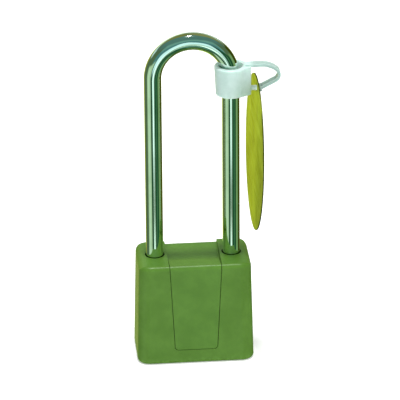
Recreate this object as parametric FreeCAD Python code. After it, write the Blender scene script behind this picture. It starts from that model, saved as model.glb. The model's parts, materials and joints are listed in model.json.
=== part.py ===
import FreeCAD, Part
import math
import os

# Safety (lockout) padlock with a long shackle and a number tag.
# Millimetres. +Z is up, along the shackle. -Y is the front, which carries the panel.
# The origin is the centre of the flat base. The free (toe) leg is at -X, the captive (heel) leg at +X.

V = FreeCAD.Vector
X, Y, Z = V(1, 0, 0), V(0, 1, 0), V(0, 0, 1)

# ---- driving dimensions ------------------------------------------------------------------------

# moulded body
body_height = 37.0
body_width_base = 40.5
body_width_top = 38.7
body_depth_base = 23.2
body_depth_top = 22.4
body_corner_radius = 4.2
body_top_fillet = 1.6
body_base_fillet = 1.3
body_profile_radius_top = 3.0  # rounding of the outline's corners, seen from the front
body_profile_radius_base = 1.8
side_wall = 1.9                # at the top; the draft thickens it toward the base
front_wall = 3.2
back_wall = 1.9
top_wall = 3.7
saddle_width = 18.2            # low middle of the top, between the two shackle bosses
saddle_depth = 1.6
shackle_hole_clearance = 0.4

# inlaid front panel
panel_width_top = 17.7
panel_width_base = 14.5
panel_base_height = 5.4        # height of the panel's lower edge above the base
panel_corner_radius = 1.2
panel_thickness = 1.5
panel_tab_depth = 9.6          # how far the panel folds back over the top
panel_tab_rise = 0.15          # step up from the saddle to the tab's rear edge
panel_gap = 0.2
seat_gap = 0.05                # between pieces that sit on each other

# shackle
shackle_diameter = 6.0
shackle_pitch = 26.5           # leg centre to leg centre
clear_height = 76.0            # body top to the inside of the crown, closed
shackle_lift = 12.8
heel_end_height = 10.0
toe_end_height = 24.6
end_chamfer = 0.7

# base plate and inner case
base_thickness = 3.0
base_snap = 0.4                # how far the plate's rib reaches into the body's groove
base_snap_height = 0.8
case_gap = 0.1
case_corner_radius = 3.0
leg_clearance = 0.1            # radial, leg in the case

# locking balls and cam
ball_radius = 2.5
ball_height = 28.0
ball_travel = 1.2
ball_bite = 1.0                # how deep a locked ball stands in the leg
ball_clearance = 0.05
notch_clearance = 0.1
cam_height = 5.4
cam_low_gap = 0.05             # cam to ball, balls home
cam_high_gap = 0.15            # cam to ball, balls out
cam_pocket_gap = 0.5           # cam's widest reach to its pocket in the case

# pin-tumbler cylinder
cylinder_radius = 6.5
cylinder_top = 21.9
plug_radius = 3.8
plug_clearance = 0.05
plug_flange_radius = 4.6
plug_recess = 0.3              # plug face above the base
plug_neck_radius = 3.2
clip_radius = 4.9
clip_thickness = 0.6
plug_land = 0.8                # plug above its clip
tongue_width = 4.4
tongue_thickness = 2.2
keyway_width = 1.3
keyway_height = 5.0
pin_count = 6
pin_pitch = 2.8
first_pin_height = 6.0
pin_radius = 1.05
pin_clearance = 0.05
key_pin_lengths = (2.5, 2.9, 2.2, 3.0, 2.4, 2.7)
driver_pin_length = 2.4
pin_spring_length = 1.6
pin_spring_radius = 0.7
pin_spring_wire = 0.3
pin_spring_turns = 2.5
bible_width = 4.8
cover_width = 3.0
cover_thickness = 0.6

# shackle spring, its seat, the heel pin and the retaining screw
spring_wire = 0.6
spring_bore_gap = 0.65         # spring's outside to the bore
spring_turns = 6
seat_thickness = 0.8
seat_stub_gap = 0.55           # seat's stub to the spring's inside
seat_stub_height = 1.6
heel_pin_radius = 0.9
heel_pin_offset = 2.35         # from the leg's axis, outward
heel_foot = 2.4                # full-round end of the leg below the flat
toe_well_floor = 8.0
screw_radius = 1.5
screw_head_radius = 2.6
screw_head_height = 1.6
screw_point_height = 0.7

# tag collar, its looped band, the band's pin and the tag
collar_height = 10.3
collar_rise = 3.95             # collar's rim above the centre of the shackle's bend
collar_radius_top = 5.6
collar_radius_base = 5.1
collar_bore_clearance = 0.08
collar_flare_radius = 4.2
collar_flare_height = 5.2
collar_rim_fillet = 0.5
pad_reach = 6.75               # collar axis to the pad's end face
pad_width = 4.0
band_width = 3.0
band_thickness = 1.1
band_rise = 0.5                # band's top above the collar's rim
band_crown_radius = 8.0        # the band first bends gently, then tightly round its tip
band_tip_radius = 2.4
band_tip_start = 50.0          # where the tight bend begins, in degrees above the level
band_reach = 16.4              # collar axis to the band's far end, on its centre line
band_return_angle = 63.0       # turned through at the tip
band_end_length = 1.1
band_end_radius = 1.4
band_end_drop = 0.2            # pin below the line of the band's return
band_pin_radius = 0.9
band_pin_grip = 2.6            # length of pin inside the pad
tag_radius = 26.95
tag_thickness = 0.5
tag_hole_radius = 1.6
tag_hole_edge = 3.15           # hole centre to the tag's edge
tag_gap = 1.95                 # pad to tag, at the pin
tag_band_gap = 0.3             # tag to the band's end
tag_lean = 1.8                 # degrees; the tag's top stands further out than its foot
tag_yaw = 0.2                  # degrees; the tag is turned a little toward the back

# ---- places worked out from them ---------------------------------------------------------------

leg_x = shackle_pitch / 2
leg_radius = shackle_diameter / 2
crown_z = body_height + clear_height - leg_x + leg_radius

cavity_x = body_width_top / 2 - side_wall
cavity_front = -body_depth_top / 2 + front_wall
cavity_back = body_depth_top / 2 - back_wall
cavity_top = body_height - top_wall
case_bottom = base_thickness + seat_gap
case_top = cavity_top - case_gap
saddle_z = body_height - saddle_depth

leg_bore_radius = leg_radius + leg_clearance
spring_radius = leg_bore_radius - spring_bore_gap - spring_wire / 2
seat_stub_radius = spring_radius - spring_wire / 2 - seat_stub_gap
ball_out_x = leg_x - leg_radius + ball_bite - ball_radius
ball_home_x = ball_out_x - ball_travel
cam_low = ball_home_x - ball_radius - cam_low_gap
cam_high = ball_out_x - ball_radius - cam_high_gap
cam_base = ball_height - cam_height / 2

plug_base = plug_recess
plug_shoulder = base_thickness - plug_clearance
cylinder_base = case_bottom + seat_gap
clip_z = cylinder_top + case_gap
plug_top = clip_z + clip_thickness + plug_land
bore_gap = 0.1
core_bore_radius = cylinder_radius + bore_gap
chamber_radius = pin_radius + pin_clearance
driver_start = plug_radius + plug_clearance + 0.02
spring_start = driver_start + driver_pin_length + pin_clearance
cover_start = spring_start + pin_spring_length + pin_clearance
bible_back = cover_start + cover_thickness
pin_heights = [first_pin_height + i * pin_pitch for i in range(pin_count)]
keyway_top = pin_heights[-1] + chamber_radius + 0.6

flat_base = heel_end_height + heel_foot
heel_pin_z = flat_base + shackle_lift + heel_pin_radius + notch_clearance
flat_top = heel_pin_z + heel_pin_radius + 4 * notch_clearance
heel_pin_x = leg_x + heel_pin_offset

collar_top = crown_z + collar_rise
collar_base = collar_top - collar_height
pad_x = leg_x + pad_reach
tag_x = pad_x + tag_gap
band_end_x = tag_x + tag_thickness + tag_band_gap


# ---- helpers -----------------------------------------------------------------------------------

def cylinder(radius, bottom, top, x=0.0):
    """Upright cylinder in the plane of the legs."""
    return Part.makeCylinder(radius, top - bottom, V(x, 0, bottom), Z)


def box(x0, x1, y0, y1, z0, z1):
    return Part.makeBox(x1 - x0, y1 - y0, z1 - z0, V(x0, y0, z0))


def rounded_outline(x0, x1, y0, y1, radius, z):
    """Closed wire: a rectangle with four round corners, lying at height z."""
    s = radius * (1 - math.sqrt(0.5))
    return Part.Wire([
        Part.makeLine(V(x0 + radius, y0, z), V(x1 - radius, y0, z)),
        Part.Arc(V(x1 - radius, y0, z), V(x1 - s, y0 + s, z), V(x1, y0 + radius, z)).toShape(),
        Part.makeLine(V(x1, y0 + radius, z), V(x1, y1 - radius, z)),
        Part.Arc(V(x1, y1 - radius, z), V(x1 - s, y1 - s, z), V(x1 - radius, y1, z)).toShape(),
        Part.makeLine(V(x1 - radius, y1, z), V(x0 + radius, y1, z)),
        Part.Arc(V(x0 + radius, y1, z), V(x0 + s, y1 - s, z), V(x0, y1 - radius, z)).toShape(),
        Part.makeLine(V(x0, y1 - radius, z), V(x0, y0 + radius, z)),
        Part.Arc(V(x0, y0 + radius, z), V(x0 + s, y0 + s, z), V(x0 + radius, y0, z)).toShape(),
    ])


def rounded_block(x0, x1, y0, y1, radius, z0, z1):
    face = Part.Face(rounded_outline(x0, x1, y0, y1, radius, z0))
    return face.extrude(V(0, 0, z1 - z0))


def prism(points, direction):
    """Solid swept in a straight line from the polygon through the points."""
    face = Part.Face(Part.makePolygon(points + points[:1]))
    return face.extrude(direction)


def edges_at(shape, z, tolerance=0.01):
    """Edges that lie wholly at height z."""
    found = []
    for edge in shape.Edges:
        b = edge.BoundBox
        if abs(b.ZMin - z) < tolerance and abs(b.ZMax - z) < tolerance:
            found.append(edge)
    return found


def octagon(radius, centre):
    """Closed wire in the XZ plane."""
    corners = []
    for i in range(9):
        angle = i * math.pi / 4
        corners.append(centre + V(radius * math.cos(angle), 0, radius * math.sin(angle)))
    return Part.makePolygon(corners)


def coil(radius, wire, start, length, turns, faceted=False):
    """Compression spring along +Z from height start, wire inside the given length."""
    pitch = (length - wire) / turns
    helix = Part.makeHelix(pitch, pitch * turns, radius)
    helix.translate(V(0, 0, start + wire / 2))
    middle = V(radius, 0, start + wire / 2)
    if faceted:
        section = octagon(wire / 2, middle)
    else:
        section = Part.Wire(Part.makeCircle(wire / 2, middle, Y))
    return Part.Wire(helix.Edges).makePipeShell([section], True, True)


def save(name, shape):
    shape.exportStep("parts/" + name + ".step")


# ---- body --------------------------------------------------------------------------------------

def half_width(z):
    return (body_width_base + (body_width_top - body_width_base) * z / body_height) / 2


def half_depth(z):
    return (body_depth_base + (body_depth_top - body_depth_base) * z / body_height) / 2


def make_outer_form():
    """Drafted block with rounded edges, before anything is cut from it."""
    wires = []
    for z in (0.0, body_height):
        w, d = half_width(z), half_depth(z)
        wires.append(rounded_outline(-w, w, -d, d, body_corner_radius, z))
    block = Part.makeLoft(wires, True, True)
    block = block.makeFillet(body_top_fillet, edges_at(block, body_height))
    block = block.makeFillet(body_base_fillet, edges_at(block, 0.0))

    # the outline's corners are rounder than the edge fillets
    margin = 0.25
    w0, w1 = half_width(0) + margin, half_width(body_height) + margin
    far = body_depth_base
    trim = prism([V(-w0, -far, 0), V(w0, -far, 0), V(w1, -far, body_height), V(-w1, -far, body_height)],
                 V(0, 2 * far, 0))
    for radius, z in ((body_profile_radius_top, body_height), (body_profile_radius_base, 0.0)):
        corners = [e for e in edges_at(trim, z) if e.BoundBox.YLength > far]
        trim = trim.makeFillet(radius + margin, corners)
    return block.common(trim)


def saddle_cut():
    """Takes the top's middle down to the saddle, and slopes it up to the front edge."""
    front = body_depth_base
    rear_of_tab = -body_depth_top / 2 + panel_tab_depth
    half = saddle_width / 2
    high = body_height + 1
    profile = [
        V(-half, -front, high),
        V(-half, -front, body_height),
        V(-half, -body_depth_top / 2, body_height),
        V(-half, rear_of_tab, saddle_z + panel_tab_rise),
        V(-half, rear_of_tab, saddle_z),
        V(-half, front, saddle_z),
        V(-half, front, high),
    ]
    return prism(profile, V(saddle_width, 0, 0))


def panel_form(grow):
    """Space of the L-shaped panel, made larger all round by grow."""
    top = body_height + 5
    half_top = panel_width_top / 2 + grow
    half_base = panel_width_base / 2 + grow
    base = panel_base_height - grow
    far = body_depth_base
    outline = prism([
        V(-half_base, -far, base),
        V(half_base, -far, base),
        V(half_top, -far, body_height),
        V(half_top, -far, top),
        V(-half_top, -far, top),
        V(-half_top, -far, body_height),
    ], V(0, 2 * far, 0))
    low = [e for e in outline.Edges
           if abs(e.CenterOfMass.z - base) < 0.01 and e.BoundBox.YLength > far]
    outline = outline.makeFillet(panel_corner_radius + grow, low)

    behind = panel_thickness + (seat_gap if grow else 0.0)
    under = saddle_z - panel_thickness - (seat_gap if grow else 0.0)
    rear = -body_depth_top / 2 + panel_tab_depth + grow
    wide = body_width_base
    section = prism([
        V(-wide, -far, 0),
        V(-wide, -half_depth(0) + behind, 0),
        V(-wide, -half_depth(under) + behind, under),
        V(-wide, rear, under),
        V(-wide, rear, top),
        V(-wide, -far, top),
    ], V(2 * wide, 0, 0))
    return outline.common(section)


def base_form(grow):
    """The base plate's block with its snap rib, made larger all round by grow."""
    x, y0, y1 = cavity_x - case_gap + grow, cavity_front + case_gap - grow, cavity_back - case_gap + grow
    plate = rounded_block(-x, x, y0, y1, case_corner_radius + grow, 0, base_thickness)
    middle = base_thickness / 2
    r = base_snap
    rib = rounded_block(-x - r, x + r, y0 - r, y1 + r, case_corner_radius + grow + r,
                        middle - base_snap_height / 2 - grow, middle + base_snap_height / 2 + grow)
    return plate.fuse(rib).removeSplitter()


def make_body_shell(outer):
    shell = outer.cut(saddle_cut())
    shell = shell.cut(panel_form(panel_gap))
    cavity = rounded_block(-cavity_x, cavity_x, cavity_front, cavity_back,
                           case_corner_radius + case_gap, -1, cavity_top)
    shell = shell.cut(cavity)
    shell = shell.cut(base_form(seat_gap))
    for side in (-1, 1):
        shell = shell.cut(cylinder(leg_radius + shackle_hole_clearance, cavity_top - 1, body_height + 1, side * leg_x))
    return shell


def make_front_panel(outer):
    return outer.cut(saddle_cut()).common(panel_form(0.0))


def make_base_plate():
    plate = base_form(0.0)
    plate = plate.cut(cylinder(plug_flange_radius + pin_clearance, -1, base_thickness + 1))
    return plate.cut(cylinder(screw_radius, screw_point_height, base_thickness + 1, -leg_x))


# ---- shackle -----------------------------------------------------------------------------------

def ball_groove(side, height):
    """Cross groove in a leg that takes a locked ball."""
    radius = ball_radius + notch_clearance
    return Part.makeCylinder(radius, 4 * leg_radius, V(side * ball_out_x, -2 * leg_radius, height), Y)


def make_shackle():
    toe = cylinder(leg_radius, toe_end_height, crown_z, -leg_x)
    toe = toe.makeChamfer(end_chamfer, edges_at(toe, toe_end_height))
    heel = cylinder(leg_radius, heel_end_height, crown_z, leg_x)
    heel = heel.makeChamfer(end_chamfer, edges_at(heel, heel_end_height))
    disc = Part.Face(Part.Wire(Part.makeCircle(leg_radius, V(leg_x, 0, crown_z), Z)))
    crown = disc.revolve(V(0, 0, crown_z), V(0, -1, 0), 180)
    bar = toe.fuse([crown, heel])

    for side in (-1, 1):
        bar = bar.cut(ball_groove(side, ball_height))

    # round neck: with the shackle lifted, the heel leg can turn past a locked ball
    centre = leg_x - ball_out_x
    neck = Part.makeTorus(centre, ball_radius + notch_clearance, V(leg_x, 0, ball_height - shackle_lift), Z)
    bar = bar.cut(neck)

    # flat on the heel leg's outer side, which rides along the heel pin
    flat_x = heel_pin_x - heel_pin_radius - notch_clearance
    bar = bar.cut(box(flat_x, flat_x + 2 * leg_radius, -2 * leg_radius, 2 * leg_radius, flat_base, flat_top))
    return bar


# ---- lock case and its small pieces ------------------------------------------------------------

def make_lock_case():
    x, y0, y1 = cavity_x - case_gap, cavity_front + case_gap, cavity_back - case_gap
    case = rounded_block(-x, x, y0, y1, case_corner_radius, case_bottom, case_top)
    core_top = cam_base + cam_height + 0.2
    core = cylinder(core_bore_radius, case_bottom - 1, cylinder_top + bore_gap)
    pocket = cylinder(cam_high + cam_pocket_gap, cylinder_top, core_top)
    case = case.cut(core.fuse(pocket).removeSplitter())
    half = bible_width / 2 + bore_gap
    case = case.cut(box(-half, half, 0, bible_back + bore_gap, case_bottom - 1, cylinder_top + bore_gap))
    case = case.cut(cylinder(leg_bore_radius, case_bottom - 1, case_top + 1, leg_x))
    case = case.cut(cylinder(leg_bore_radius, toe_well_floor, case_top + 1, -leg_x))
    case = case.cut(cylinder(screw_radius + bore_gap, case_bottom - 1, toe_well_floor + 1, -leg_x))
    channel = Part.makeCylinder(ball_radius + ball_clearance, 2 * leg_x, V(-leg_x, 0, ball_height), X)
    case = case.cut(channel)
    return case.cut(heel_pin_form(0.02))


def heel_pin_form(grow):
    """Cross pin, as long as the case is deep at the round corner where it stands."""
    into_corner = heel_pin_x + heel_pin_radius - (cavity_x - case_gap - case_corner_radius)
    inset = case_corner_radius - math.sqrt(case_corner_radius ** 2 - max(0.0, into_corner) ** 2)
    y0, y1 = cavity_front + case_gap + inset, cavity_back - case_gap - inset
    return Part.makeCylinder(heel_pin_radius + grow, y1 - y0, V(heel_pin_x, y0, heel_pin_z), Y)


def make_spring_seat():
    disc = cylinder(leg_bore_radius - 0.05, case_bottom, case_bottom + seat_thickness, leg_x)
    stub = cylinder(seat_stub_radius, case_bottom, case_bottom + seat_thickness + seat_stub_height, leg_x)
    return disc.fuse(stub).removeSplitter()


def make_shackle_spring():
    start = case_bottom + seat_thickness + 0.02
    spring = coil(spring_radius, spring_wire, start, heel_end_height - 0.05 - start, spring_turns)
    spring.translate(V(leg_x, 0, 0))
    return spring


def make_retaining_screw():
    seat = toe_well_floor + seat_gap
    shank = cylinder(screw_radius, screw_point_height, seat, -leg_x)
    shank = shank.makeChamfer(0.4, edges_at(shank, screw_point_height))
    head = cylinder(screw_head_radius, seat, seat + screw_head_height, -leg_x)
    slot_half, slot_depth = 0.4, 0.8
    slot = box(-leg_x - screw_head_radius - 1, -leg_x + screw_head_radius + 1, -slot_half, slot_half,
               seat + screw_head_height - slot_depth, seat + screw_head_height + 1)
    return shank.fuse(head).removeSplitter().cut(slot)


def make_ball(side):
    return Part.makeSphere(ball_radius, V(side * ball_home_x, 0, ball_height))


# ---- pin-tumbler cylinder ----------------------------------------------------------------------
# The plug stands a quarter turn from its key-in position: the balls are home, and the shackle can lift.

def make_cylinder_shell():
    shell = cylinder(cylinder_radius, cylinder_base, cylinder_top)
    half = bible_width / 2
    shell = shell.fuse(box(-half, half, 0, bible_back, cylinder_base, cylinder_top)).removeSplitter()
    shell = shell.cut(cylinder(plug_radius + plug_clearance, cylinder_base - 1, cylinder_top + 1))
    for z in pin_heights:
        shell = shell.cut(Part.makeCylinder(chamber_radius, bible_back + 1, V(0, 0, z), Y))
    return shell.cut(cover_form(seat_gap))


def cover_form(grow):
    half = cover_width / 2 + grow
    low = pin_heights[0] - pin_pitch / 2 - grow
    high = pin_heights[-1] + pin_pitch / 2 + grow
    reach = bible_back + (1.0 if grow else 0.0)
    return box(-half, half, cover_start - grow, reach, low, high)


def make_cylinder_plug():
    plug = cylinder(plug_radius, plug_base, plug_top)
    plug = plug.fuse(cylinder(plug_flange_radius, plug_base, plug_shoulder))
    groove = cylinder(plug_radius + 1, clip_z, clip_z + clip_thickness)
    plug = plug.cut(groove.cut(cylinder(plug_neck_radius, clip_z - 1, clip_z + clip_thickness + 1)))
    tongue = box(-tongue_width / 2, tongue_width / 2, -tongue_thickness / 2, tongue_thickness / 2,
                 plug_top, cam_base + cam_height - 0.5)
    plug = plug.fuse(tongue).removeSplitter()
    plug = plug.cut(box(-keyway_height / 2, keyway_height / 2, -keyway_width / 2, keyway_width / 2,
                        plug_base - 1, keyway_top))
    for z in pin_heights:
        plug = plug.cut(Part.makeCylinder(chamber_radius, plug_radius + 1, V(0, 0, z), X))
    return plug


def make_key_pins():
    """One tapered pin in each of the plug's chambers, its head just inside the shear line."""
    pins = []
    head = math.sqrt(plug_radius ** 2 - pin_radius ** 2) - 0.02
    taper = 0.6
    for z, length in zip(pin_heights, key_pin_lengths):
        foot = head - length
        pin = Part.makeCylinder(pin_radius, length - taper, V(foot + taper, 0, z), X)
        tip = Part.makeCone(pin_radius / 3, pin_radius, taper, V(foot, 0, z), X)
        pins.append(pin.fuse(tip).removeSplitter())
    return Part.makeCompound(pins)


def make_driver_pins():
    pins = [Part.makeCylinder(pin_radius, driver_pin_length, V(0, driver_start, z), Y) for z in pin_heights]
    return Part.makeCompound(pins)


def make_pin_springs():
    spring = coil(pin_spring_radius, pin_spring_wire, 0.0, pin_spring_length, pin_spring_turns, faceted=True)
    spring.rotate(V(0, 0, 0), X, -90)
    springs = []
    for z in pin_heights:
        copy = spring.copy()
        copy.translate(V(0, spring_start, z))
        springs.append(copy)
    return Part.makeCompound(springs)


def make_plug_clip():
    """Open ring that snaps into the plug's groove."""
    ring = cylinder(clip_radius, clip_z + 0.02, clip_z + clip_thickness - 0.02)
    ring = ring.cut(cylinder(plug_neck_radius + 0.02, clip_z - 1, clip_z + clip_thickness + 1))
    mouth = 2.2
    return ring.cut(box(-mouth / 2, mouth / 2, -2 * clip_radius, 0, clip_z - 1, clip_z + clip_thickness + 1))


def make_locking_cam():
    outline = Part.Ellipse(V(0, 0, cam_base), cam_high, cam_low).toShape()
    cam = Part.Face(Part.Wire(outline)).extrude(V(0, 0, cam_height))
    cam.rotate(V(0, 0, 0), Z, 90)
    x, y = tongue_width / 2 + seat_gap, tongue_thickness / 2 + seat_gap
    return cam.cut(box(-x, x, -y, y, cam_base - 1, cam_base + cam_height + 1))


# ---- collar, band, pin and tag -----------------------------------------------------------------

def band_path():
    """Centre line of the band in the XZ plane: corner points and arc centres, worked out from its sizes."""
    top = collar_top + band_rise - band_thickness / 2
    far = leg_x + band_reach
    start = math.radians(band_tip_start)
    turn = math.radians(band_return_angle)
    between = band_crown_radius - band_tip_radius
    crown_centre = (far - band_tip_radius - between * math.cos(start), top - band_crown_radius)
    tip_centre = (far - band_tip_radius, crown_centre[1] + between * math.sin(start))
    tip_end = (tip_centre[0] + band_tip_radius * math.cos(turn),
               tip_centre[1] - band_tip_radius * math.sin(turn))
    run = tip_end[0] - (band_end_x + band_end_length / 2)
    pin_z = tip_end[1] - run / math.tan(turn) - band_end_drop
    return top, crown_centre, tip_centre, start, turn, tip_end, pin_z


def band_outline(offset):
    """Edges of the band's path shifted outward by offset, from the collar to the pin."""
    top, crown_centre, tip_centre, start, turn, tip_end = band_path()[:6]

    def around(centre, radius, angle):
        return V(centre[0] + radius * math.cos(angle), 0, centre[1] + radius * math.sin(angle))

    root = V(leg_x + collar_flare_radius + 0.2, 0, top + offset)
    crown_radius = band_crown_radius + offset
    tip_radius = band_tip_radius + offset
    a = around(crown_centre, crown_radius, math.pi / 2)
    b = around(crown_centre, crown_radius, (math.pi / 2 + start) / 2)
    c = around(crown_centre, crown_radius, start)
    d = around(tip_centre, tip_radius, (start - turn) / 2)
    e = around(tip_centre, tip_radius, -turn)
    run = (tip_end[0] - (band_end_x + band_end_length / 2)) / math.sin(turn)
    f = e + V(-math.sin(turn) * run, 0, -math.cos(turn) * run)
    return [Part.makeLine(root, a), Part.Arc(a, b, c).toShape(),
            Part.Arc(c, d, e).toShape(), Part.makeLine(e, f)], root, f


def make_band():
    outer, outer_root, outer_end = band_outline(band_thickness / 2)
    inner, inner_root, inner_end = band_outline(-band_thickness / 2)
    edges = outer + [Part.makeLine(outer_end, inner_end)] + inner + [Part.makeLine(inner_root, outer_root)]
    face = Part.Face(Part.Wire(Part.__sortEdges__(edges)))
    face.translate(V(0, -band_width / 2, 0))
    return face.extrude(V(0, band_width, 0))


def make_tag_collar():
    """Sleeve, pad, looped band and the band's end, one moulding."""
    sleeve = Part.makeCone(collar_radius_base, collar_radius_top, collar_height, V(leg_x, 0, collar_base), Z)
    sleeve = sleeve.makeFillet(collar_rim_fillet, edges_at(sleeve, collar_top))

    # the pad's sides are tangent to the sleeve and run in to its end face
    mean = (collar_radius_base + collar_radius_top) / 2
    reach, half = pad_reach, pad_width / 2
    away = math.hypot(reach, half)
    bearing = math.atan2(half, reach) + math.acos(mean / away)
    tx, ty = mean * math.cos(bearing), mean * math.sin(bearing)
    pad = prism([V(leg_x, -ty, collar_base), V(leg_x + tx, -ty, collar_base), V(pad_x, -half, collar_base),
                 V(pad_x, half, collar_base), V(leg_x + tx, ty, collar_base), V(leg_x, ty, collar_base)],
                V(0, 0, collar_height))

    pin_z = band_path()[6]
    end = Part.makeCylinder(band_end_radius, band_end_length, V(band_end_x, 0, pin_z), X)
    collar = sleeve.fuse([pad, make_band(), end])

    bore = cylinder(leg_radius + collar_bore_clearance, collar_base - 1, collar_top + 1, leg_x)
    flare = Part.makeCone(leg_radius, collar_flare_radius, collar_flare_height,
                          V(leg_x, 0, collar_top - collar_flare_height), Z)
    above = cylinder(collar_flare_radius, collar_top, collar_top + 2, leg_x)
    collar = collar.cut(bore.fuse([flare, above]))
    return collar.cut(make_band_pin()).removeSplitter()


def make_band_pin():
    """Plain pin pressed through the band's end and into the pad."""
    start = pad_x - band_pin_grip
    length = band_end_x + band_end_length - start
    return Part.makeCylinder(band_pin_radius, length, V(start, 0, band_path()[6]), X)


def make_number_tag():
    """Round disc with one hole, hung from the pin a little out of true."""
    middle = tag_thickness / 2
    tag = Part.makeCylinder(tag_radius, tag_thickness, V(-middle, 0, tag_hole_edge - tag_radius), X)
    tag = tag.cut(Part.makeCylinder(tag_hole_radius, 2 * tag_thickness, V(-tag_thickness, 0, 0), X))
    tag.rotate(V(0, 0, 0), Y, tag_lean)
    tag.rotate(V(0, 0, 0), Z, tag_yaw)
    tag.translate(V(tag_x + middle, 0, band_path()[6]))
    return tag


# ---- build -------------------------------------------------------------------------------------

def main():
    os.makedirs("parts", exist_ok=True)
    outer = make_outer_form()
    save("body_shell", make_body_shell(outer))
    save("front_panel", make_front_panel(outer))
    save("base_plate", make_base_plate())
    save("lock_case", make_lock_case())
    save("retaining_screw", make_retaining_screw())
    save("heel_pin", heel_pin_form(0.0))
    save("spring_seat", make_spring_seat())
    save("shackle_spring", make_shackle_spring())
    save("shackle", make_shackle())
    save("ball_left", make_ball(-1))
    save("ball_right", make_ball(1))
    save("locking_cam", make_locking_cam())
    save("cylinder_shell", make_cylinder_shell())
    save("cylinder_plug", make_cylinder_plug())
    save("plug_clip", make_plug_clip())
    save("key_pins", make_key_pins())
    save("driver_pins", make_driver_pins())
    save("pin_springs", make_pin_springs())
    save("chamber_cover", cover_form(0.0))
    save("tag_collar", make_tag_collar())
    save("band_pin", make_band_pin())
    save("number_tag", make_number_tag())


main()
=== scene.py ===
import json
import math

import bmesh
import bpy
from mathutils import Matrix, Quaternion, Vector, noise


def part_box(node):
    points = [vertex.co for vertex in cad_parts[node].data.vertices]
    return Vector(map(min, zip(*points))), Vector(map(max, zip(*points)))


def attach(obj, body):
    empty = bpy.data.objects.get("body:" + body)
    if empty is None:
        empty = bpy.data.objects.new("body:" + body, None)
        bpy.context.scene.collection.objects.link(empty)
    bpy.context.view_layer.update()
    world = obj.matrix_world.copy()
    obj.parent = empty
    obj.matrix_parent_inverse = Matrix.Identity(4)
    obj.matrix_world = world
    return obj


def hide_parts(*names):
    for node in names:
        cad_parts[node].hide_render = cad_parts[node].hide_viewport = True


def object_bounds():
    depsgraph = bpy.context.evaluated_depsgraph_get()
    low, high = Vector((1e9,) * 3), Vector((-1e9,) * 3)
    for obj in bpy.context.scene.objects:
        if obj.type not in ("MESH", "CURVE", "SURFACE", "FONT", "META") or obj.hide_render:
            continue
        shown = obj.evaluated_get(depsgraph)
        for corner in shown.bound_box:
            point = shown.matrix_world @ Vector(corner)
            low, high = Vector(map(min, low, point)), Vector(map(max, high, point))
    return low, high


# Looks of the safety padlock: materials for every part, finer meshes for the shackle and the tag,
# and the studio. Metres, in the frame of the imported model: +Z up, -Y front, base on z = 0.

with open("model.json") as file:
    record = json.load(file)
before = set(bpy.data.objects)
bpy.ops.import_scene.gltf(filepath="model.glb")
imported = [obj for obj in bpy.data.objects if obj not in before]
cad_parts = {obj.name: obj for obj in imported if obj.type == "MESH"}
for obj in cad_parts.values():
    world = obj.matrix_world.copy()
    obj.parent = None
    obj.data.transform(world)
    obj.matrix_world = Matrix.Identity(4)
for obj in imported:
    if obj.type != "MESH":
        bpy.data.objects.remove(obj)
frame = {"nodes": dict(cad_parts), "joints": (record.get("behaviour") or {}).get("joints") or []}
cad_low, cad_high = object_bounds()
nodes = frame["nodes"]
joints = {j["name"]: j for j in frame["joints"]}
MM = 0.001


# ---- colours and node helpers ---------------------------------------------------------------------


def linear(r, g, b):
    """Linear colour with alpha from an 8-bit sRGB one."""
    out = []
    for c in (r, g, b):
        c /= 255
        out.append(c / 12.92 if c <= 0.04045 else ((c + 0.055) / 1.055) ** 2.4)
    return (*out, 1.0)


class Nodes:
    """A material with a Principled shader, and short calls for the nodes that feed it."""

    def __init__(self, name, **constants):
        self.material = bpy.data.materials.new(name)
        self.material.use_nodes = True
        self.tree = self.material.node_tree
        self.shader = self.tree.nodes["Principled BSDF"]
        for socket, value in constants.items():
            self.shader.inputs[socket.replace("_", " ")].default_value = value
        self.place = self.tree.nodes.new("ShaderNodeTexCoord").outputs["Object"]

    def add(self, kind, inputs, **settings):
        node = self.tree.nodes.new(kind)
        for key, value in settings.items():
            setattr(node, key, value)
        for key, value in inputs.items():
            if isinstance(value, bpy.types.NodeSocket):
                self.tree.links.new(value, node.inputs[key])
            else:
                node.inputs[key].default_value = value
        return node

    def link(self, output, socket):
        self.tree.links.new(output, self.shader.inputs[socket])

    def stretched(self, scale):
        """The object's own coordinates, scaled along each axis."""
        return self.add("ShaderNodeMapping", {"Vector": self.place, "Scale": scale}).outputs[0]

    def noise(self, scale, detail=3.0, roughness=0.5, place=None):
        return self.add("ShaderNodeTexNoise", {
            "Vector": place or self.place, "Scale": scale, "Detail": detail, "Roughness": roughness,
        }).outputs["Fac"]

    def cells(self, scale, place=None):
        inputs = {"Vector": place or self.place, "Scale": scale}
        return self.add("ShaderNodeTexVoronoi", inputs).outputs["Distance"]

    def spread(self, value, low, high, to_low=0.0, to_high=1.0):
        """value from low..high mapped to to_low..to_high, held at the ends."""
        return self.add("ShaderNodeMapRange", {
            "Value": value, "From Min": low, "From Max": high, "To Min": to_low, "To Max": to_high,
        }, interpolation_type="SMOOTHSTEP").outputs["Result"]

    def maths(self, operation, a, b=0.0):
        return self.add("ShaderNodeMath", {0: a, 1: b}, operation=operation).outputs[0]

    def mix(self, share, a, b):
        return self.add("ShaderNodeMix", {"Factor": share, 6: a, 7: b}, data_type="RGBA").outputs[2]

    def bump(self, height, distance, strength=1.0, under=None):
        inputs = {"Height": height, "Distance": distance, "Strength": strength}
        if under is not None:
            inputs["Normal"] = under
        return self.add("ShaderNodeBump", inputs).outputs["Normal"]

    def distance_from(self, point):
        """Distance of the shaded point from a fixed point of the object."""
        away = self.add("ShaderNodeVectorMath", {0: self.place, 1: tuple(point)}, operation="DISTANCE")
        return away.outputs["Value"]


def give(material, *names):
    """Puts a material on the CAD nodes with these names."""
    for name in names:
        slots = nodes[name].data.materials
        slots.clear()
        slots.append(material)


# ---- materials ------------------------------------------------------------------------------------


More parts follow.
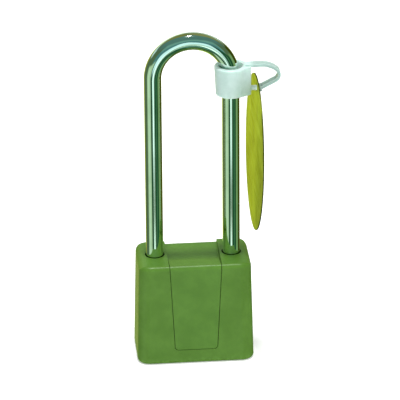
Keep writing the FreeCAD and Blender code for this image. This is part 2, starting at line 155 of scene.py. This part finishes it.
def moulded_nylon(name, dark, light, grain, roughness, floor_bounce_paint=0.0):
    """Spark-eroded nylon: soft colour drift, fine grain, and a paler band painted near the base as painted
    light, standing in for light bounced up from the floor.
    """
    n = Nodes(name, Specular_IOR_Level=0.24, IOR=1.53)
    drift = n.spread(n.noise(95, 4, 0.55), 0.35, 0.65)
    patches = n.spread(n.noise(420, 2, 0.6), 0.4, 0.62)
    colour = n.mix(drift, dark, light)
    fleck = tuple(0.86 * c for c in dark[:3]) + (1.0,)
    colour = n.mix(n.maths("MULTIPLY", patches, 0.28), colour, fleck)
    # painted light: paler towards the base, in noise blotches, standing in for the light bounced up from
    # the floor
    if floor_bounce_paint:
        height = n.add("ShaderNodeSeparateXYZ", {0: n.place}).outputs["Z"]
        low = n.spread(height, 0.0, 3.2 * MM, floor_bounce_paint, 0.0)
        painted_bounce_mask = n.maths("MULTIPLY", low, n.spread(n.noise(700, 5, 0.7), 0.42, 0.62))
        pale = tuple(min(1.0, 1.5 * c + 0.02) for c in light[:3]) + (1.0,)
        colour = n.mix(painted_bounce_mask, colour, pale)
    n.link(colour, "Base Color")
    n.link(n.spread(n.noise(1600, 2), 0.3, 0.7, roughness - 0.05, roughness + 0.07), "Roughness")
    fine = n.bump(n.noise(5200, 3, 0.6), grain, 0.5)
    n.link(n.bump(n.noise(240, 2), 0.05 * MM, 0.35, under=fine), "Normal")
    return n.material


def milky_nylon(name, thin, thick, band_from=None):
    """Natural nylon: light goes into it, with a faint cloudiness and a satin skin. Right of
    band_from it is the thin band, which lets more light through and looks greyer."""
    n = Nodes(name, Subsurface_Weight=0.8, Subsurface_Scale=2.4 * MM, Specular_IOR_Level=0.4, IOR=1.53,
              Subsurface_Radius=(0.8, 1.0, 0.9), Coat_Weight=0.12, Coat_Roughness=0.25)
    cloud = n.spread(n.noise(260, 4, 0.6), 0.32, 0.68)
    colour = n.mix(cloud, thick, thin)
    if band_from is not None:
        across = n.add("ShaderNodeSeparateXYZ", {0: n.place}).outputs["X"]
        greyer = tuple(0.72 * c for c in thick[:3]) + (1.0,)
        colour = n.mix(n.spread(across, band_from, band_from + 2 * MM), colour, greyer)
    n.link(colour, "Base Color")
    n.link(n.spread(n.noise(1500, 3), 0.3, 0.7, 0.34, 0.48), "Roughness")
    fine = n.bump(n.noise(4200, 3, 0.6), 0.012 * MM, 0.45)
    n.link(n.bump(n.noise(420, 2), 0.05 * MM, 0.3, under=fine), "Normal")
    return n.material


def chrome(name, bright, dull):
    """Plated and polished bar: faint draw marks along it, a slight haze and a few plating specks."""
    n = Nodes(name, Metallic=1.0, Specular_Tint=(0.95, 1.0, 0.97, 1.0))
    along = n.stretched((1.0, 1.0, 0.02))
    haze = n.spread(n.noise(160, 4, 0.6), 0.4, 0.7)
    n.link(n.mix(haze, bright, dull), "Base Color")
    streak = n.noise(2600, 3, 0.6, place=along)
    n.link(n.spread(streak, 0.3, 0.7, 0.035, 0.085), "Roughness")
    speck = n.spread(n.cells(260), 0.05, 0.1, 1.0, 0.0)
    rare = n.spread(n.noise(90, 2), 0.6, 0.66)
    polished = n.bump(streak, 0.004 * MM, 0.25)
    n.link(n.bump(n.maths("MULTIPLY", speck, rare), 0.05 * MM, 0.6, under=polished), "Normal")
    return n.material


def rolled_brass(name, light, deep, tarnish, centre, radius):
    """Stamped sheet brass: cloudy tarnish, rolling marks across it, fine scratches, and painted shade
    darkening the rim.
    """
    n = Nodes(name, Metallic=0.8, Specular_Tint=(0.86, 0.92, 0.28, 1.0), Anisotropic=0.3)
    cloud = n.spread(n.noise(62, 4, 0.6), 0.36, 0.64)
    stain = n.spread(n.noise(150, 5, 0.65), 0.5, 0.74)
    colour = n.mix(cloud, deep, light)
    colour = n.mix(n.maths("MULTIPLY", stain, 0.55), colour, tarnish)
    # painted shade: the faces darken close to the rim, standing in for the shade on the tag's edge
    painted_rim_shade = n.spread(n.distance_from(centre), radius - 0.22 * MM, radius - 0.1 * MM)
    colour = n.mix(n.maths("MULTIPLY", painted_rim_shade, 0.9), colour, linear(40, 52, 8))
    n.link(colour, "Base Color")
    rolled = n.noise(900, 4, 0.7, place=n.stretched((1.0, 0.06, 1.0)))
    n.link(n.spread(rolled, 0.3, 0.7, 0.34, 0.5), "Roughness")
    scratch = n.noise(1500, 2, 0.7, place=n.stretched((1.0, 1.0, 0.08)))
    marks = n.bump(rolled, 0.01 * MM, 0.4)
    n.link(n.bump(n.spread(scratch, 0.6, 0.7), 0.01 * MM, 0.3, under=marks), "Normal")
    return n.material


def worked_metal(name, light, dark, roughness, marks, drift=180):
    """Turned, cast or drawn metal: tool marks, uneven lustre and slightly darker patches."""
    n = Nodes(name, Metallic=1.0)
    n.link(n.mix(n.spread(n.noise(drift, 4, 0.6), 0.35, 0.65), dark, light), "Base Color")
    n.link(n.spread(n.noise(1400, 4, 0.65), 0.3, 0.7, roughness - 0.06, roughness + 0.1), "Roughness")
    tooling = n.noise(2400, 3, 0.6, place=n.stretched(marks))
    n.link(n.bump(tooling, 0.012 * MM, 0.45), "Normal")
    return n.material


# ---- meshes ---------------------------------------------------------------------------------------

# cuts in the bar, which the lock works in
CUT_GAP = 0.1 * MM            # bar to the ball, and to the heel pin
HEEL_FOOT = 2.4 * MM          # full-round end of the captive leg, below its flat
FLAT_PAST_PIN = 0.4 * MM      # how far the flat goes on above the heel pin
END_CHAMFER = 0.7 * MM
BAR_SIDES = 96
FINE_STEP = 0.2 * MM          # between rings where the bar is cut
PLAIN_STEP = 1.2 * MM         # and where it is plain
CREASE = 0.01 * MM            # half the space between the two rings at a crease

TAG_SIDES = 240
TAG_RINGS = 40
TAG_ROUNDING = 0.12 * MM      # how far the rounded edges reach into the faces
TAG_EDGE_STEPS = 8
TAG_FACE_INSET = 0.04 * MM    # faces behind the tag's full thickness, so that its waves fit in it
TAG_WAVE = 0.035 * MM
TAG_WAVE_SCALE = 95.0


def object_from(bm, name, sharp_angle=35):
    """Object with smooth faces, and edges kept sharp above the angle in degrees."""
    bmesh.ops.recalc_face_normals(bm, faces=bm.faces)
    mesh = bpy.data.meshes.new(name)
    bm.to_mesh(mesh)
    bm.free()
    mesh.shade_smooth()
    mesh.set_sharp_from_angle(angle=math.radians(sharp_angle))
    piece = bpy.data.objects.new(name, mesh)
    bpy.context.scene.collection.objects.link(piece)
    return piece


def skin(bm, rings):
    """Quads between neighbouring rings of points, with a flat face on each end."""
    rows = [[bm.verts.new(p) for p in ring] for ring in rings]
    for a, b in zip(rows, rows[1:]):
        for i in range(len(a)):
            j = (i + 1) % len(a)
            bm.faces.new((a[i], a[j], b[j], b[i]))
    bm.faces.new(list(reversed(rows[0])))
    bm.faces.new(rows[-1])


def steps(start, end, size):
    """Heights from start up to, and not including, end."""
    count = max(1, round((end - start) / size))
    return [start + (end - start) * i / count for i in range(count)]


def make_shackle():
    """The bar as a fine sweep, with its ball grooves, neck and flat where the lock works."""
    low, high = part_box("shackle")
    toe_end = min(v.co.z for v in nodes["shackle"].data.vertices if v.co.x < 0)
    radius = (high.y - low.y) / 2
    leg = high.x - radius
    crown_z = high.z - leg - radius
    ball_low, ball_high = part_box("ball_right")
    ball = (ball_high.x - ball_low.x) / 2
    ball_z = (ball_high.z + ball_low.z) / 2
    out_x = ball_high.x - ball + joints["right_ball_slide"]["range_m"][1]
    groove = ball + CUT_GAP
    lift = joints["shackle_lift"]["range_m"][1]
    pin_low, pin_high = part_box("heel_pin")
    flat_x = pin_low.x - CUT_GAP
    flat_low = low.z + HEEL_FOOT
    flat_high = pin_high.z + FLAT_PAST_PIN

    def cut(point, side):
        """Moves a point of a straight leg onto whatever is cut there."""
        x, y, z = point
        rise = abs(z - ball_z)
        if rise < groove:
            wall = out_x + math.sqrt(groove ** 2 - rise ** 2)
            if side * x < wall:
                x = side * wall
        if side > 0:
            rise = abs(z - (ball_z - lift))
            if rise < groove:
                neck = (leg - out_x) - math.sqrt(groove ** 2 - rise ** 2)
                away = math.hypot(x - leg, y)
                if away > neck:
                    x = leg + (x - leg) * neck / away
                    y = y * neck / away
            if flat_low < z < flat_high:
                x = min(x, flat_x)
        return Vector((x, y, z))

    def leg_rings(side, end):
        """Rings from the leg's end up to the bend, closer together where the leg is cut."""
        heights = [end, end + END_CHAMFER]
        stops = [z for z in (flat_low, ball_z - lift - groove, ball_z - lift + groove,
                             ball_z - groove, ball_z + groove) if z > end + END_CHAMFER]
        stops.append(flat_high)
        at = end + END_CHAMFER
        for stop in sorted(stops):
            if stop <= at:
                continue
            heights += steps(at, stop, FINE_STEP)[1:] + [stop - CREASE, stop + CREASE]
            at = stop + CREASE
        heights += steps(at, crown_z, PLAIN_STEP)[1:]
        rings = []
        for z in heights:
            r = radius - END_CHAMFER if z == end else radius
            ring = []
            for i in range(BAR_SIDES):
                a = 2 * math.pi * i / BAR_SIDES
                point = (side * (leg + r * math.cos(a)), r * math.sin(a), z)
                ring.append(cut(point, side))
            rings.append(ring)
        return rings

    rings = leg_rings(-1, toe_end)
    for k in range(181):
        turn = math.radians(k)
        ring = []
        for i in range(BAR_SIDES):
            a = 2 * math.pi * i / BAR_SIDES
            reach = leg + radius * math.cos(a)
            ring.append(Vector((-reach * math.cos(turn), radius * math.sin(a),
                                crown_z + reach * math.sin(turn))))
        rings.append(ring)
    rings += reversed(leg_rings(1, low.z))
    bm = bmesh.new()
    skin(bm, rings)
    return object_from(bm, "shackle_bar", 30)


def make_tag():
    """The tag as a fine disc: burnished edges, a punched hole, and faces a little out of flat."""
    axis = Vector(joints["tag_swing"]["axis"]).normalized()
    pivot = Vector(joints["tag_swing"]["pos_m"])
    points = [v.co.copy() for v in nodes["number_tag"].data.vertices]
    low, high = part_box("number_tag")
    centre = (low + high) / 2
    depths = [(p - centre).dot(axis) for p in points]
    face = (max(depths) - min(depths)) / 2 - TAG_FACE_INSET
    radius = max((p - centre - axis * (p - centre).dot(axis)).length for p in points)
    hole = min((p - pivot - axis * (p - pivot).dot(axis)).length for p in points)
    up = pivot - centre
    up = up - axis * up.dot(axis)
    offset = up.length
    up.normalize()
    side = axis.cross(up)

    def at(share, angle, depth):
        """Point on the circle that is share of the way from the hole to the rim."""
        r = hole + (radius - hole) * share
        lift = offset * (1 - share)
        u = lift + r * math.cos(angle)
        v = r * math.sin(angle)
        return centre + up * u + side * v + axis * depth

    def flat(share, angle, sign):
        """Point on a face, which waves gently between the hole and the rim."""
        place = at(share, angle, 0.0)
        wave = noise.noise(place * TAG_WAVE_SCALE) * TAG_WAVE * math.sin(math.pi * share)
        return at(share, angle, sign * face + wave)

    def loop(make):
        """Ring of the points that make gives for each angle."""
        return [make(2 * math.pi * i / TAG_SIDES) for i in range(TAG_SIDES)]

    inset = TAG_ROUNDING / (radius - hole)
    shares = [inset + (1 - 2 * inset) * i / TAG_RINGS for i in range(TAG_RINGS + 1)]
    loops = [loop(lambda a, s=s: flat(s, a, 1)) for s in shares]
    for k in range(1, TAG_EDGE_STEPS):
        t = math.pi * k / TAG_EDGE_STEPS
        share = 1 - inset + inset * math.sin(t)
        loops.append(loop(lambda a, s=share, c=math.cos(t): at(s, a, c * face)))
    loops += [loop(lambda a, s=s: flat(s, a, -1)) for s in reversed(shares)]
    for k in range(1, TAG_EDGE_STEPS):
        t = math.pi * k / TAG_EDGE_STEPS
        share = inset - inset * math.sin(t)
        loops.append(loop(lambda a, s=share, c=math.cos(t): at(s, a, -c * face)))
    bm = bmesh.new()
    rows = [[bm.verts.new(p) for p in ring] for ring in loops]
    for a, b in zip(rows, rows[1:] + rows[:1]):
        for i in range(TAG_SIDES):
            j = (i + 1) % TAG_SIDES
            bm.faces.new((a[i], a[j], b[j], b[i]))
    return object_from(bm, "tag_disc", 60), centre, radius


shackle = make_shackle()
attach(shackle, "shackle")
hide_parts("shackle")

tag, tag_centre, tag_radius = make_tag()
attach(tag, "tag")
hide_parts("number_tag")
tag.visible_glossy = False      # the bar doesn't mirror it

# ---- finishes on the pieces -----------------------------------------------------------------------

shell_nylon = moulded_nylon("shell_nylon", linear(74, 113, 34), linear(81, 121, 41), 0.02 * MM, 0.38, 0.4)
panel_nylon = moulded_nylon("panel_nylon", linear(74, 114, 36), linear(80, 121, 41), 0.012 * MM, 0.37)
base_nylon = moulded_nylon("base_nylon", linear(70, 104, 40), linear(80, 116, 48), 0.02 * MM, 0.52)
give(shell_nylon, "body_shell")
give(panel_nylon, "front_panel")
give(base_nylon, "base_plate")

shackle.data.materials.append(chrome("shackle_chrome", (0.80, 0.86, 0.80, 1), (0.70, 0.77, 0.70, 1)))
tag.data.materials.append(rolled_brass("tag_brass", linear(214, 216, 84), linear(188, 186, 46),
                                       linear(158, 148, 34), tag_centre, tag_radius))

band_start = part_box("band_pin")[0].x + 2 * MM
give(milky_nylon("collar_nylon", linear(192, 213, 208), linear(179, 203, 197), band_start), "tag_collar")
give(milky_nylon("pin_nylon", linear(226, 240, 236), linear(205, 226, 220)), "band_pin")

give(worked_metal("case_zinc", (0.62, 0.63, 0.62, 1), (0.48, 0.49, 0.49, 1), 0.45, (1, 1, 1)), "lock_case")
give(worked_metal("cylinder_brass", (0.80, 0.63, 0.30, 1), (0.62, 0.46, 0.19, 1), 0.3, (1, 1, 0.05)),
     "cylinder_shell", "cylinder_plug", "chamber_cover")
give(worked_metal("pin_brass", (0.84, 0.68, 0.34, 1), (0.70, 0.53, 0.24, 1), 0.24, (1, 0.08, 1)),
     "key_pins", "driver_pins")
give(worked_metal("hard_steel", (0.60, 0.60, 0.61, 1), (0.44, 0.45, 0.47, 1), 0.22, (1, 1, 0.06)),
     "locking_cam", "ball_left", "ball_right", "spring_seat", "heel_pin")
give(worked_metal("spring_steel", (0.54, 0.54, 0.56, 1), (0.36, 0.37, 0.39, 1), 0.3, (1, 1, 1), 500),
     "pin_springs", "plug_clip", "shackle_spring")
give(worked_metal("screw_steel", (0.66, 0.65, 0.62, 1), (0.5, 0.5, 0.5, 1), 0.33, (1, 1, 0.05)),
     "retaining_screw")


# ---- studio ---------------------------------------------------------------------------------------


def edge(value, low, high, blur):
    """1 inside low..high, fading to 0 over blur on each side."""
    inside = min(value - low, high - value) / blur + 0.5
    t = min(1.0, max(0.0, inside))
    return t * t * (3 - 2 * t)


# Soft boxes and flags that the polished parts see: bearing from the front in degrees (right is
# positive), height above the level in degrees, blur of the edges, and colour.
TENT_BANDS = 120
TENT_BEARINGS = 360
CARDS = [
    ((-181, 181), (-90, 90), 1, (0.09, 0.16, 0.08)),
    ((-181, 181), (38, 91), 16, (0.09, 0.21, 0.18)),
    ((-181, -125), (20, 75), 14, (0.20, 0.22, 0.06)),
    ((110, 181), (20, 75), 14, (0.24, 0.27, 0.10)),
    ((-70, 70), (-60, -31), 8, (0.12, 0.30, 0.22)),
    ((-50, 50), (14, 44), 10, (0.16, 0.36, 0.30)),
    ((-55, 40), (-2, 26), 9, (0.08, 0.24, 0.24)),
    ((-181, -128), (-60, 14), 10, (0.30, 0.30, 0.05)),
    ((-181, -156), (-60, 20), 6, (0.95, 1.15, 0.30)),
    ((140, 181), (-60, 25), 10, (0.30, 0.33, 0.12)),
    ((-181, -110), (16, 30), 5, (0.62, 0.84, 0.80)),
    ((110, 181), (16, 30), 5, (0.62, 0.84, 0.76)),
    ((-80, -34), (-90, 6), 5, (0.46, 0.68, 0.42)),
    ((-62, -54), (-90, 0), 4, (0.62, 0.88, 0.62)),
    ((-31, -15), (-90, 10), 4, (0.01, 0.07, 0.03)),
    ((-13, 13), (-23.5, 8), 4, (0.45, 0.72, 0.58)),
    ((-6, 4), (-23.5, 12), 4, (1.2, 1.6, 1.5)),
    ((-12, 12), (-34, -26.5), 4, (0.7, 1.0, 0.8)),
    ((-5, 3), (-34, -27.5), 3, (1.8, 2.4, 2.2)),
    ((-26, 26), (-12, 9), 8, (0.75, 1.15, 1.15)),
    ((18, 62), (-90, 12), 5, (0.01, 0.08, 0.03)),
    ((36, 42), (-90, 6), 4, (0.10, 0.26, 0.12)),
    ((66, 92), (-90, 18), 6, (0.20, 0.38, 0.14)),
    ((98, 138), (-90, 30), 8, (0.05, 0.06, 0.0)),
    ((-181, 181), (-91, -62), 8, (0.05, 0.12, 0.03)),
]


def seen_from(bearing, height):
    """Colour of the tent in one direction."""
    colour = Vector((0.0, 0.0, 0.0))
    for (left, right), (low, high), blur, tint in CARDS:
        share = edge(bearing, left, right, blur) * edge(height, low, high, blur)
        colour = colour.lerp(Vector(tint), share)
    return colour


def make_tent(middle, radius):
    """Glowing tent round the object, seen only in reflections."""
    bm = bmesh.new()
    layer = bm.verts.layers.float_color.new("glow")
    rows = []
    for j in range(1, TENT_BANDS):
        height = -90 + 180 * j / TENT_BANDS
        row = []
        for i in range(TENT_BEARINGS):
            bearing = -180 + 360 * i / TENT_BEARINGS
            flat = radius * math.cos(math.radians(height))
            v = bm.verts.new(middle + Vector((flat * math.sin(math.radians(bearing)),
                                              -flat * math.cos(math.radians(bearing)),
                                              radius * math.sin(math.radians(height)))))
            v[layer] = (*seen_from(bearing, height), 1.0)
            row.append(v)
        rows.append(row)
    for a, b in zip(rows, rows[1:]):
        for i in range(TENT_BEARINGS):
            j = (i + 1) % TENT_BEARINGS
            bm.faces.new((a[i], a[j], b[j], b[i]))
    bm.faces.new(rows[0])
    bm.faces.new(rows[-1])
    mesh = bpy.data.meshes.new("studio_tent")
    bm.to_mesh(mesh)
    bm.free()
    tent = bpy.data.objects.new("studio_tent", mesh)
    bpy.context.scene.collection.objects.link(tent)
    material = bpy.data.materials.new("tent_glow")
    material.use_nodes = True
    tree = material.node_tree
    tree.nodes.clear()
    glow = tree.nodes.new("ShaderNodeEmission")
    colour = tree.nodes.new("ShaderNodeVertexColor")
    colour.layer_name = "glow"
    tree.links.new(colour.outputs["Color"], glow.inputs["Color"])
    tree.links.new(glow.outputs[0], tree.nodes.new("ShaderNodeOutputMaterial").inputs["Surface"])
    material.cycles.emission_sampling = "NONE"
    mesh.materials.append(material)
    tent.visible_camera = False
    tent.visible_diffuse = False
    tent.visible_shadow = False
    tent.visible_transmission = False
    return tent


def make_floor(size):
    """Plain pale ground, which the polished parts don't mirror."""
    bm = bmesh.new()
    bmesh.ops.create_grid(bm, x_segments=8, y_segments=8, size=size)
    mesh = bpy.data.meshes.new("studio_floor")
    bm.to_mesh(mesh)
    bm.free()
    floor = bpy.data.objects.new("studio_floor", mesh)
    bpy.context.scene.collection.objects.link(floor)
    n = Nodes("floor_paper", Roughness=0.95, Specular_IOR_Level=0.0, Emission_Color=(1.0, 1.0, 1.0, 1.0),
              Emission_Strength=0.18)
    n.link(n.mix(n.noise(3), (0.90, 0.90, 0.90, 1), (0.93, 0.93, 0.93, 1)), "Base Color")
    mesh.materials.append(n.material)
    floor.visible_glossy = False
    return floor


def area_light(name, place, toward, size, watts, colour=(1, 1, 1)):
    light = bpy.data.lights.new(name, "AREA")
    light.shape = "DISK"
    light.size = size
    light.energy = watts
    light.color = colour
    lamp = bpy.data.objects.new(name, light)
    lamp.location = place
    lamp.rotation_mode = "QUATERNION"
    lamp.rotation_quaternion = (Vector(place) - toward).to_track_quat("Z", "Y")
    lamp.visible_glossy = False
    bpy.context.scene.collection.objects.link(lamp)
    return lamp


middle = (cad_low + cad_high) / 2
tent = make_tent(Vector((0, 0, 0.06)), 0.5)
floor = make_floor(3.0)

area_light("key_light", (0.5, -0.9, 0.75), middle, 0.7, 4.0)
area_light("fill_light", (-0.15, -1.0, 0.5), middle, 0.9, 1.3)
area_light("back_light", (-0.2, 0.9, 0.9), middle, 0.9, 3.0)
area_light("ceiling_lamp", (0.0, -0.02, 0.95), middle, 0.07, 5.2).visible_glossy = True

world = bpy.data.worlds.new("studio_world")
world.use_nodes = True
world.node_tree.nodes["Background"].inputs["Color"].default_value = (1.0, 1.0, 1.0, 1.0)
world.node_tree.nodes["Background"].inputs["Strength"].default_value = 0.75
bpy.context.scene.world = world
bpy.context.scene.view_settings.view_transform = "Standard"

# ---- camera ---------------------------------------------------------------------------------------

AZIMUTH = math.radians(-5.04)
ELEVATION = math.radians(25.06)
ROLL = math.radians(0.39)
DISTANCE = 1.2834
FOCAL_LENGTH = 336.7          # in mm, on a sensor 36 mm wide
aim = Vector((2.556 * MM, 0.0, 56.87 * MM))
back = Vector((math.sin(AZIMUTH) * math.cos(ELEVATION), -math.cos(AZIMUTH) * math.cos(ELEVATION),
               math.sin(ELEVATION)))

camera_data = bpy.data.cameras.new("camera")
camera_data.sensor_width = 36.0
camera_data.lens = FOCAL_LENGTH
camera = bpy.data.objects.new("camera", camera_data)
camera.rotation_mode = "QUATERNION"
camera.location = aim + back * DISTANCE
camera.rotation_quaternion = (-back).to_track_quat("-Z", "Y") @ Quaternion((0, 0, 1), -ROLL)
bpy.context.scene.collection.objects.link(camera)
bpy.context.scene.camera = camera
